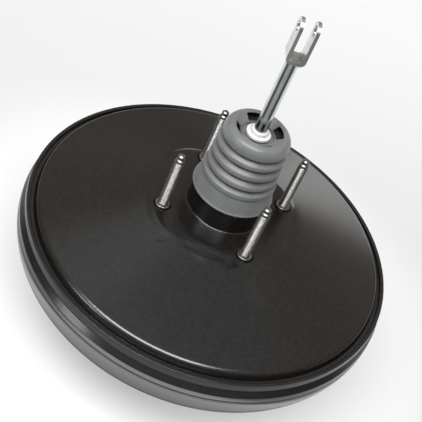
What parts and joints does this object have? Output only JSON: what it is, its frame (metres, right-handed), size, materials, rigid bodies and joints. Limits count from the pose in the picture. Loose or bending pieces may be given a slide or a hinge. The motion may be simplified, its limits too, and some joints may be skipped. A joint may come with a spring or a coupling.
{
  "type": "vacuum brake booster",
  "caption": "Round pressed-steel vacuum servo with firewall studs, a convoluted boot and a pushrod with clevis on one side, and master cylinder studs on the other.",
  "frame": {"origin": "centre of the plane of the firewall pad's face, on the booster's axis", "axes": "+Z along the booster's axis towards the brake pedal, +X along the clevis pin, +Y completes the right-handed frame"},
  "size_m": [0.3064, 0.3064, 0.3125],
  "materials": {
    "black_paint": "black stoved paint, semi-gloss, slightly warm",
    "zinc_steel": "zinc plated pressed steel",
    "stud_zinc": "bright zinc plate on rolled thread",
    "rod_steel": "turned steel, oiled",
    "rod_zinc": "drawn and zinc plated, bright",
    "clevis_zinc": "bright zinc plated strip",
    "spring_steel": "oil hardened spring wire",
    "seal_rubber": "moulded black rubber",
    "diaphragm_rubber": "moulded black rubber, matt",
    "boot_rubber": "moulded dark grey rubber, dusted",
    "nylon": "natural nylon",
    "white_nylon": "white nylon",
    "black_nylon": "black moulded nylon",
    "moulded_resin": "ivory moulded resin",
    "filter_felt": "white felt",
    "filter_foam": "grey open foam"
  },
  "bodies": {
    "shells": {"rear_shell": "black_paint", "front_shell": "black_paint", "rear_plate": "zinc_steel", "front_plate": "zinc_steel", "rear_studs": "stud_zinc", "master_cylinder_studs": "stud_zinc", "rear_seal": "seal_rubber", "guide_bearing": "nylon", "bearing_retainer": "zinc_steel", "front_seal": "seal_rubber", "front_seal_retainer": "zinc_steel", "check_valve_grommet": "seal_rubber", "check_valve_body": "black_nylon", "check_valve_spring": "spring_steel"},
    "check_valve": {"check_valve_disc": "seal_rubber"},
    "piston": {"valve_body": "moulded_resin", "retaining_key": "zinc_steel", "diaphragm_plate": "zinc_steel", "diaphragm": "diaphragm_rubber", "reaction_disc": "seal_rubber", "output_rod": "rod_steel", "output_rod_screw": "rod_steel", "output_rod_retainer": "zinc_steel", "return_spring": "spring_steel", "poppet_valve": "seal_rubber", "poppet_spring": "spring_steel", "poppet_retainer": "zinc_steel", "air_filter": "filter_felt", "silencer": "filter_foam", "boot": "boot_rubber"},
    "valve": {"plunger": "rod_steel", "input_rod_spring": "spring_steel"},
    "pushrod": {"input_rod": "rod_zinc", "spring_collar": "zinc_steel", "rod_bush": "white_nylon", "clevis": "clevis_zinc"}
  },
  "joints": [
    {"name": "piston_slide", "type": "slide", "parent": "shells", "child": "piston", "axis": [0, 0, -1], "range_m": [0, 0.03], "stiffness_N_per_m": 4000, "springref_m": -0.03, "deforming": ["boot", "diaphragm", "return_spring"]},
    {"name": "valve_slide", "type": "slide", "parent": "piston", "child": "valve", "axis": [0, 0, -1], "range_m": [0, 0.0015], "stiffness_N_per_m": 1500, "springref_m": -0.008, "deforming": ["input_rod_spring"]},
    {"name": "rod_tilt", "type": "hinge", "parent": "valve", "child": "pushrod", "pos_m": [0, 0, 0.01], "axis": [1, 0, 0], "range_deg": [-2, 2], "stiffness_Nm_per_rad": 3},
    {"name": "check_valve_slide", "type": "slide", "parent": "shells", "child": "check_valve", "axis": [0, 0, -1], "range_m": [0, 0.0015], "stiffness_N_per_m": 50, "springref_m": -0.002, "deforming": ["check_valve_spring"]}
  ]
}
